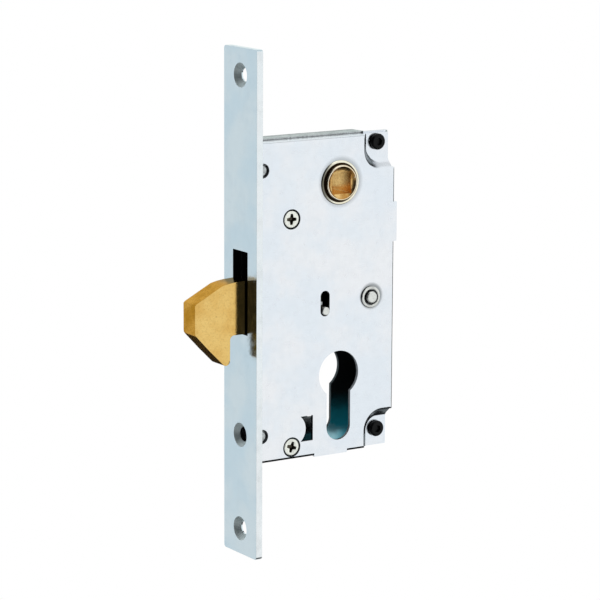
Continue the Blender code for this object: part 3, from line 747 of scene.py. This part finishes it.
def build_cover():
    past_rim = -1.5  # tools reach past the cover's rim
    cover = loft("case_cover_sheet", bent_edge(-OUTER, COVER_RIM, COVER_TOP), "sheet")
    room = round_rect(CASE_X0 - 3, CASE_Z0 + SHEET, CASE_X1 - SHEET, COVER_TOP - SHEET, 0.3, 2)
    hollow = prisms("cover_hollow", [room], -INNER_SIDE, past_rim)
    for key, corner in NEAR_PRESS.items():
        run = NEAR_RUN[key]
        levels = [(y, (NEAR_FLOOR - y) / (NEAR_FLOOR + OUTER)) for y in (-1.0, -8.0)]
        keep = corner_press(key, "keep_" + key, WALL, levels, corner, run, NEAR_RADIUS)
        boolean(hollow, keep)
    boolean(cover, hollow)
    for key, corner in NEAR_PRESS.items():
        run, levels = NEAR_RUN[key], eased(NEAR_FLOOR, -OUTER, -0.6)
        press = corner_press(key, "press_" + key, 0.0, levels, corner, run, NEAR_RADIUS)
        boolean(cover, press)
        if key == "upper":
            z0, z1 = corner[1] + 1.0, CASE_Z1 + 2
        else:
            z0, z1 = CASE_Z0 - 2, corner[1] - 1.0
        trim = round_rect(NEAR_END, z0, CASE_X1 + 3, z1, 0.3, 2)
        boolean(cover, prisms("trim_" + key, [trim], -8.0, past_rim))
    tabs = {
        "rear_tab": (CASE_X1 - 3.0, 46.6, 62.3, 61.2),
        "bottom_tab": (27.2, -29.65, 41.4, CASE_Z0 + 3.0),
    }
    for name, (x0, z0, x1, z1) in tabs.items():
        tab = prisms(name, [round_rect(x0, z0, x1, z1, 0.35, 3)], -OUTER, -INNER_SIDE)
        boolean(cover, tab, "UNION")
    tongue = round_rect(CASE_X0, COVER_TOP - SHEET, LAP_END, COVER_TOP, 0.3, 3)
    boolean(cover, prisms("top_tongue", [tongue], -3.6, -1.5), "UNION")
    lip = round_rect(LAP_END - 1.0, COVER_TOP - SHEET, NEAR_END, COVER_TOP, 0.2, 2)
    boolean(cover, prisms("corner_lip", [lip], -3.78, -1.65), "UNION")

    # small window in front of the cylinder, its front edge a bow
    x0, x1, z0, z1 = 21.2, 26.5, -23.3, -14.0
    window = [(x1, z0), (x1, z1), (x0, z1)] + arc(17.4, -18.65, 6.0, 49, -49, 24) + [(x0, z0)]
    holes = [circle(HUB, HUB_HOLE_R), cylinder_profile(), slot_loop(*GUIDE_SLOT)]
    holes += [circle(PIVOT, PIVOT_HOLE_R)]
    holes += [circle(c, SCREW_HOLE_R) for c in COVER_SCREWS.values()]
    holes += [circle(c, CORNER_HOLE_R) for c in CORNERS.values()] + [window]
    holes += [circle(c, TRUNNION_R) for c in TRUNNIONS.values()]
    boolean(cover, prisms("cover_holes", holes, -9.0, -2.0))
    for key, c in COVER_SCREWS.items():
        dish = [(-7.4, 0.0), (-7.4, 4.05), (-7.0, 3.65), (-5.7, 3.3), (-5.3, 2.0), (-5.3, 0.0)]
        boolean(cover, turned(key + "_dish", c, dish, None))
    settle(cover)
    # painted shade on the pressed slopes and the rear bend
    edge_faces(cover, "press", press_bend)
    edge_faces(cover, "bend", bend_shade)
    edge_faces(cover, "edge", hole_wall(far=False))
    # the inside of the cover takes painted shade
    edge_faces(cover, "inside", inner_face(far=False))
    stands_for(cover, "case", "zinc_sheet", "case_cover")


def build_shell():
    shell = loft("case_shell_tray", bent_edge(OUTER, SHELL_RIM, CASE_Z1), "shell")
    room = round_rect(CASE_X0 - 3, CASE_Z0 + SHEET, CASE_X1 - SHEET, CASE_Z1 - SHEET, 0.3, 2)
    hollow = prisms("shell_hollow", [room], -3.2, INNER_SIDE)
    depth = OUTER - FAR_FLOOR
    for key, corner in FAR_PRESS.items():
        levels = [(y, (y - FAR_FLOOR) / depth) for y in (-4.0, 8.0)]
        keep = corner_press(key, "far_keep_" + key, WALL, levels, corner, FAR_RUN, FAR_RADIUS)
        boolean(hollow, keep)
    boolean(shell, hollow)
    for key, corner in FAR_PRESS.items():
        levels = [(y, (y - FAR_FLOOR) / depth) for y in (FAR_FLOOR, 7.6)]
        press = corner_press(key, "far_press_" + key, 0.0, levels, corner, FAR_RUN, FAR_RADIUS)
        boolean(shell, press)
    lap = round_rect(CASE_X0 - 2, CASE_Z1 - 2.0, LAP_END + 0.4, CASE_Z1 + 2, 0.3, 3)
    boolean(shell, prisms("lap_notch", [lap], -3.0, -0.9))

    holes = [circle(HUB, HUB_HOLE_R), cylinder_profile(), circle(PIVOT, PIVOT_HOLE_R)]
    holes += [circle(LEVER, POST_HOLE_R)]
    holes += [circle(c, TRUNNION_R) for c in TRUNNIONS.values()]
    holes += [circle(c, POST_HOLE_R) for c in [*COVER_SCREWS.values(), *GUIDE_POSTS]]
    boolean(shell, prisms("shell_holes", holes, 5.3, 9.0))
    corners = [circle(c, CORNER_HOLE_R) for c in CORNERS.values()]
    boolean(shell, prisms("shell_corner_holes", corners, -3.2, 0.0))
    settle(shell)
    edge_faces(shell, "tray", inner_face(far=True))
    # the tray's hole walls take painted shade
    edge_faces(shell, "inside", hole_wall(far=True))
    edge_faces(shell, "plain", lap_step)
    # these faces keep the cover's zinc instead of the tray's painted shade
    edge_faces(shell, "sheet", tray_bright)
    stands_for(shell, "case", "zinc_sheet", "case_shell")


# ---------------------------------------------------------------- fixings


def recess_face(c):
    """Test for the walls and the floor of a cross recess round c."""

    def test(face):
        x, y, z = lock_point(face)
        near = math.hypot(x - c[0], z - c[1]) < 2.3 and -6.86 < y < -5.0
        return near and (abs(face.normal.y) < 0.9 or y > -6.5)

    return test


def cross_tool(name, c, y_face, angle):
    """Tapered cross recess: four arms about c, narrower towards the foot."""
    arm, half, inner = 2.0, 0.46, 0.72  # arm length, half its width, corner between two arms
    rings = []
    for y, s in ((y_face - 0.4, 1.1), (y_face + 1.6, 0.6)):
        loop = []
        for k in range(4):
            a = math.radians(angle + 90 * k)
            for u, v in ((arm, -half), (arm, half), (inner, inner)):
                u, v = u * s, v * (0.6 + 0.4 * s)
                x = c[0] + u * math.cos(a) - v * math.sin(a)
                z = c[1] + u * math.sin(a) + v * math.cos(a)
                loop.append((x, z))
        rings.append((y, loop))
    return loft(name, rings, None)


def hexagon(c, r, turn):
    angles = [math.radians(60 * k + turn) for k in range(6)]
    return [(c[0] + r * math.cos(a), c[1] + r * math.sin(a)) for a in angles]


def build_fixings():
    """Screws, rivets and the pivot's collar; profiles are (y, radius)."""
    for key, c in COVER_SCREWS.items():
        head = [(-6.88, 0.0), (-6.95, 2.4), (-6.9, 2.95), (-6.7, 3.08)]
        head += [(-5.2, 1.3), (3.1, 1.3), (3.4, 1.0), (3.4, 0.0)]
        screw = turned("cover_screw_%s_head" % key, c, rounded(head, 0.15), "screw")
        boolean(screw, cross_tool("cross_" + key, c, -6.95, CROSS_TURN[key]))
        settle(screw, 35)
        # the cross recess takes painted shade
        edge_faces(screw, "recess", recess_face(c))
        stands_for(screw, "case", "zinc_fixings", "cover_screw_" + key)
    for key, c in CORNERS.items():
        head = [(-5.55, 0.0), (-5.55, 2.45), (-5.1, 2.95), (-4.1, 2.95)]
        head += [(-4.1, 1.0), (1.5, 1.0), (1.8, 0.7), (1.8, 0.0)]
        screw = turned("corner_screw_%s_head" % key, c, rounded(head, 0.4, 5), "black")
        boolean(screw, prisms("hex_" + key, [hexagon(c, 1.45, HEX_TURN[key])], -6.8, -4.6))
        settle(screw, 35)
        stands_for(screw, "case", "black_oxide", "corner_screw_" + key)
    post = [(-8.5, 0.0), (-8.6, 1.2), (-8.5, 1.95), (-8.2, 2.2), (6.9, 2.2), (7.2, 2.0), (7.2, 0.0)]
    pivot = turned("hook_pivot_rivet", PIVOT, rounded(post, 0.3), "rivet")
    stands_for(settle(pivot), "case", "plain_steel", "hook_pivot_post")
    ring = [(-7.3, 2.85), (-7.55, 2.9), (-7.7, 3.1), (-7.7, 3.65), (-7.6, 3.9), (-7.3, 4.0)]
    collar = turned("pivot_collar_ring", PIVOT, ring + ring[:1], "rivet")
    stands_for(settle(collar), "case", "zinc_fixings", "pivot_collar")
    rivet = [(-6.6, 0.0), (-6.6, 1.75), (-6.2, 2.1), (-5.8, 2.1), (-5.8, 1.6), (5.8, 1.6)]
    rivet += [(5.8, 2.1), (6.2, 2.1), (6.6, 1.75), (6.6, 0.0)]
    top = turned("forend_rivet", TRUNNIONS["top"], rounded(rivet, 0.2), "plain")
    stands_for(settle(top), "case", "zinc_fixings", "forend_rivet_top")


# ---------------------------------------------------------------- hook and follower


def hook_outline():
    """Hook from the top of its nose over the arm and the eye, back under to the tip."""
    beak = [(-21.0, 30.3), (-20.4, 30.9), (-12.6, 34.9), (-9.8, 36.3), (-7.3, 36.85)]
    beak += [(-4.6, 37.2), (0.0, 37.42)]
    top = [(4.0, 37.5), (9.0, 36.2), (14.0, 34.0)]
    eye = arc(*PIVOT, 7.5, 96, -84, 48)
    under = [(40.0, 18.2)]
    fillet = arc(-5.0, 16.6, 1.6, 90, 180, 8)
    tip = [(-6.68, 9.3)] + arc(-8.3, 9.15, 1.62, 0, -138, 10)
    slant = [(-14.9, 13.4), (-20.3, 19.1), (-20.85, 19.8), (-21.0, 20.6)]
    return beak + top + eye + under + fillet + tip + slant


def build_hook():
    """Hook bolt with the ear for the lift pin, and the guide pin; the profile is (y, radius)."""
    hook = slab("hook_bolt_brass", [hook_outline()], -4.0, 4.0, "hook")
    soften(hook, 0.34, 3, 50)
    x, z = LIFT_PIN
    ear = [(x - 4.5, z - 9.0), (x + 4.5, z - 9.0)] + arc(x, z, 3.4, 0, 180, 32)
    boolean(hook, prisms("hook_ear", [ear], -1.5, 1.5), "UNION")
    boolean(hook, prisms("ear_bore", [circle((x, z), 1.9, 48), circle(PIVOT, 3.3, 64)], -6.0, 6.0))
    boolean(hook, prisms("guide_bore", [circle(GUIDE_PIN, 1.9, 48)], -6.0, 2.0))
    settle(hook, 28)
    edge_faces(hook, "cast", lambda face: abs(face.normal.y) < 0.3)
    stands_for(hook, "hook", "brass", "hook_bolt")
    pin = [(-7.6, 0.0), (-7.6, 1.35), (-7.35, 1.6), (1.2, 1.6), (1.4, 1.4), (1.4, 0.0)]
    guide = turned("guide_pin_round", GUIDE_PIN, rounded(pin, 0.2), "rivet")
    stands_for(settle(guide), "hook", "plain_steel", "guide_pin")


def hub_zone(inner, outer, lo, hi):
    """Test for the follower's faces between two radii and two heights."""

    def test(face):
        x, y, z = lock_point(face)
        return lo < y < hi and inner < math.hypot(x - HUB[0], z - HUB[1]) < outer

    return test


def build_hub():
    """Follower with its shoulder, ring and square; profiles are (y, radius)."""
    profile = [(-8.6, 0.0), (-8.6, 6.2), (-8.4, 6.4), (-7.05, 6.75), (-7.05, 6.95), (-7.4, 7.1)]
    profile += [(-7.4, 7.8), (-7.2, 8.0), (-7.05, 8.0), (-7.05, 7.6), (7.4, 7.6)]
    profile += [(8.2, 7.0), (8.4, 6.4), (8.4, 0.0)]
    hub = turned("follower_hub_brass", HUB, rounded(profile, 0.18), "hub", n=96)
    dish = [(-9.0, 0.0), (-9.0, 6.0), (-8.6, 5.9), (-8.3, 5.5), (-8.0, 4.9), (-7.8, 4.2)]
    dish += [(-7.7, 3.4), (-7.7, 0.0)]
    boolean(hub, turned("hub_dish", HUB, dish, None, n=96))
    x, z = HUB
    square = round_rect(x - SQUARE, z - SQUARE, x + SQUARE, z + SQUARE, 0.25, 3)
    boolean(hub, prisms("hub_square", [square], -12.0, 12.0))
    settle(hub, 28)
    # the shoulder ring takes the painted highlight
    edge_faces(hub, "rim", hub_zone(6.9, 8.2, -8.0, -7.0))
    # the front inner edge takes the painted highlight
    edge_faces(hub, "wear_and_highlight", hub_zone(5.75, 6.45, -9.0, -8.35))
    # the outer wall takes painted shade
    edge_faces(hub, "wall_shade", hub_zone(6.35, 6.96, -8.35, -7.0))
    stands_for(hub, "follower", "brass", "follower_hub")


def spring_coil(name, node, x, r, wire, z0, z1, turns):
    """Compression spring from z0 to z1, its end turns lying flat."""
    bm = bmesh.new()
    steps, sides = 28, 12
    flat = 0.8 / turns  # share of the wire in each end turn that doesn't climb
    count = int(turns * steps)
    rows = []
    for i in range(count + 1):
        t = i / count
        a = 2 * math.pi * turns * t
        climb = min(max((t - flat) / (1 - 2 * flat), 0.0), 1.0)
        z = z0 + wire + (z1 - z0 - 2 * wire) * climb
        row = []
        for k in range(sides):
            b = 2 * math.pi * k / sides
            out, up = r + wire * math.cos(b), wire * math.sin(b)
            row.append(bm.verts.new((x + out * math.cos(a), out * math.sin(a), z + up)))
        rows.append(row)
    for lower, upper in zip(rows, rows[1:]):
        for k in range(sides):
            m = (k + 1) % sides
            bm.faces.new((lower[k], lower[m], upper[m], upper[k]))
    bm.faces.new(rows[0][::-1])
    bm.faces.new(rows[-1])
    coil = finish(name, bm, "spring", 60)
    stands_for(coil, "case", "spring_wire", node)
    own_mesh(coil)


AS_BUILT = {
    "plain": (
        "forend_bracket_top", "forend_bracket_bottom", "cover_pillar_upper", "cover_pillar_lower",
        "corner_nut_upper", "corner_nut_lower", "pivot_washer_near", "pivot_washer_far",
        "hook_bushing", "lift_pin", "cam_drive_pin", "slide_spacer", "slide_guide_lower",
        "slide_guide_upper", "lever_pivot", "lever_spacer_near", "lever_spacer_far",
        "detent_pawl", "pawl_stud", "hook_spring_seat", "hub_spring_seat",
    ),
    "dark": (
        "follower_cam", "slide_cheek_near", "slide_cheek_far", "key_lever", "hook_guide_near",
        "hook_guide_far", "screw_guide_tube",
    ),
}


def finish_inner_pieces():
    """Inner pieces that stay the CAD solids: a material and a small bevel."""
    for mat, names in AS_BUILT.items():
        for name in names:
            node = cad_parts[name]
            node.data.materials.clear()
            node.data.materials.append(MAT[mat])
            soften(node, 0.12, 2, 40)


build_faceplate()
build_cover()
build_shell()
build_fixings()
build_hook()
build_hub()
spring_coil(
    "hook_spring_coil", "hook_spring", 38.5, 2.6, 0.45, 34.4, 49.9, 5.5,
)
spring_coil(
    "follower_spring_coil", "hub_spring", 53.1, 2.4, 0.45, 50.5, 66.1, 5.5,
)
for tool in TOOLS:
    bpy.data.objects.remove(tool, do_unlink=True)
finish_inner_pieces()

# ---------------------------------------------------------------- studio

WHITE = (1, 1, 1, 1)
FLOOR_DROP, FLOOR_HALF = 60, 4.0  # millimetres below the faceplate, metres
BACKDROP = 1.05  # strength of the white seen by the camera
AMBIENT = (0.03, 0.032, 0.035)
BRIGHT = (0.94, 0.98, 0.975)
# soft lights of the world: azimuth from, to, elevation from, to, soft edge (degrees), colour
SOFTBOXES = [
    (4, 70, -27, 72, 14, BRIGHT),
    (-180, 180, 72, 95, 14, BRIGHT),
    (84, 130, 44, 58, 14, (0.62, 0.65, 0.65)),
    (106, 142, -70, -22, 12, (0.34, 0.36, 0.37)),
    (-80, -12, -68, -24, 12, (0.40, 0.42, 0.43)),
    (136, 179, 2, 56, 10, (0.84, 0.90, 0.89)),
    (-179, -116, -40, 40, 12, (0.735, 0.79, 0.815)),
]


class Backdrop(Graph):
    """Shading of the floor and of the world, from an empty tree."""

    def __init__(self, owner):
        super().__init__(owner)
        self.tree.nodes.clear()

    def band(self, value, low, high, fade):
        """1 between low and high, falling to 0 over fade on both sides."""
        rise = self.ramp(value, low - fade, low)
        return self.math("MULTIPLY", rise, self.ramp(value, high, high + fade, 1.0, 0.0))

    def camera_sees(self, seen, unseen, output):
        """Plain shader for the camera, another one for the light."""
        mix = self.add("ShaderNodeMixShader")
        path = self.add("ShaderNodeLightPath")
        self.link(path.outputs["Is Camera Ray"], mix.inputs[0])
        self.link(unseen.outputs[0], mix.inputs[1])
        self.link(seen.outputs[0], mix.inputs[2])
        self.link(mix.outputs[0], self.add(output).inputs["Surface"])


def build_floor():
    """Plain pale floor that doesn't mirror or tint the lock."""
    z, s = at(0, 0, FP_BOTTOM - FLOOR_DROP).z, FLOOR_HALF
    mesh = bpy.data.meshes.new("studio_floor")
    mesh.from_pydata([(-s, -s, z), (s, -s, z), (s, s, z), (-s, s, z)], [], [(0, 1, 2, 3)])
    floor = bpy.data.objects.new("studio_floor", mesh)
    bpy.context.scene.collection.objects.link(floor)
    floor.visible_glossy = False
    floor.visible_diffuse = False
    mat = bpy.data.materials.new("pale_floor")
    tree = Backdrop(mat)
    pale, matt = tree.add("ShaderNodeEmission"), tree.add("ShaderNodeBsdfDiffuse")
    pale.inputs["Color"].default_value = WHITE
    matt.inputs["Color"].default_value = (0.16, 0.15, 0.14, 1)
    tree.camera_sees(pale, matt, "ShaderNodeOutputMaterial")
    mesh.materials.append(mat)


def build_world():
    """White behind the lock, and a ring of soft lights that only the surfaces see."""
    world = bpy.data.worlds.new("soft_studio")
    bpy.context.scene.world = world
    tree = Backdrop(world)
    coords, split = tree.add("ShaderNodeTexCoord"), tree.add("ShaderNodeSeparateXYZ")
    tree.link(coords.outputs["Generated"], split.inputs[0])
    x, y, z = split.outputs
    heading = tree.math("ARCTAN2", x, tree.math("MULTIPLY", y, -1.0))
    heading = tree.math("MULTIPLY", heading, math.degrees(1.0))
    height = tree.math("MULTIPLY", tree.math("ARCSINE", z), math.degrees(1.0))
    total = None
    for az0, az1, el0, el1, fade, colour in SOFTBOXES:
        across, upward = tree.band(heading, az0, az1, fade), tree.band(height, el0, el1, fade)
        share = tree.math("MULTIPLY", across, upward)
        scale = tree.add("ShaderNodeVectorMath", operation="SCALE")
        scale.inputs[0].default_value = colour
        tree.link(share, scale.inputs["Scale"])
        add = tree.add("ShaderNodeVectorMath", operation="ADD")
        tree.link(scale.outputs[0], add.inputs[0])
        if total is None:
            add.inputs[1].default_value = AMBIENT
        else:
            tree.link(total, add.inputs[1])
        total = add.outputs[0]
    light, white = tree.add("ShaderNodeBackground"), tree.add("ShaderNodeBackground")
    tree.link(total, light.inputs["Color"])
    white.inputs["Color"].default_value = WHITE
    white.inputs["Strength"].default_value = BACKDROP
    tree.camera_sees(white, light, "ShaderNodeOutputWorld")


def build_camera():
    """Camera at the photograph's viewing angle, fitted to the outlines of the lock."""
    azimuth, elevation, roll = (math.radians(a) for a in (-32.735, 10.969, 0.275))
    target, distance = at(25.221, 0.0, 27.258), 1.007269
    sensor, focal_pixels, frame_pixels = 36.0, 2797.95, 600.0
    level = math.cos(elevation)
    back = Vector((math.sin(azimuth) * level, -math.cos(azimuth) * level, math.sin(elevation)))
    right = Vector((math.cos(azimuth), math.sin(azimuth), 0.0))
    up = back.cross(right)
    x = math.cos(roll) * right + math.sin(roll) * up
    y = -math.sin(roll) * right + math.cos(roll) * up
    data = bpy.data.cameras.new("camera")
    data.sensor_width = sensor
    data.lens = sensor * focal_pixels / frame_pixels
    data.clip_start, data.clip_end = 0.05, 50.0
    camera = bpy.data.objects.new("camera", data)
    bpy.context.scene.collection.objects.link(camera)
    place = Matrix((x, y, back)).transposed().to_4x4()
    place.translation = target + back * distance
    camera.matrix_world = place
    bpy.context.scene.camera = camera


bpy.context.scene.view_settings.view_transform = "Standard"
bpy.context.scene.view_settings.look = "None"
build_floor()
build_world()
build_camera()
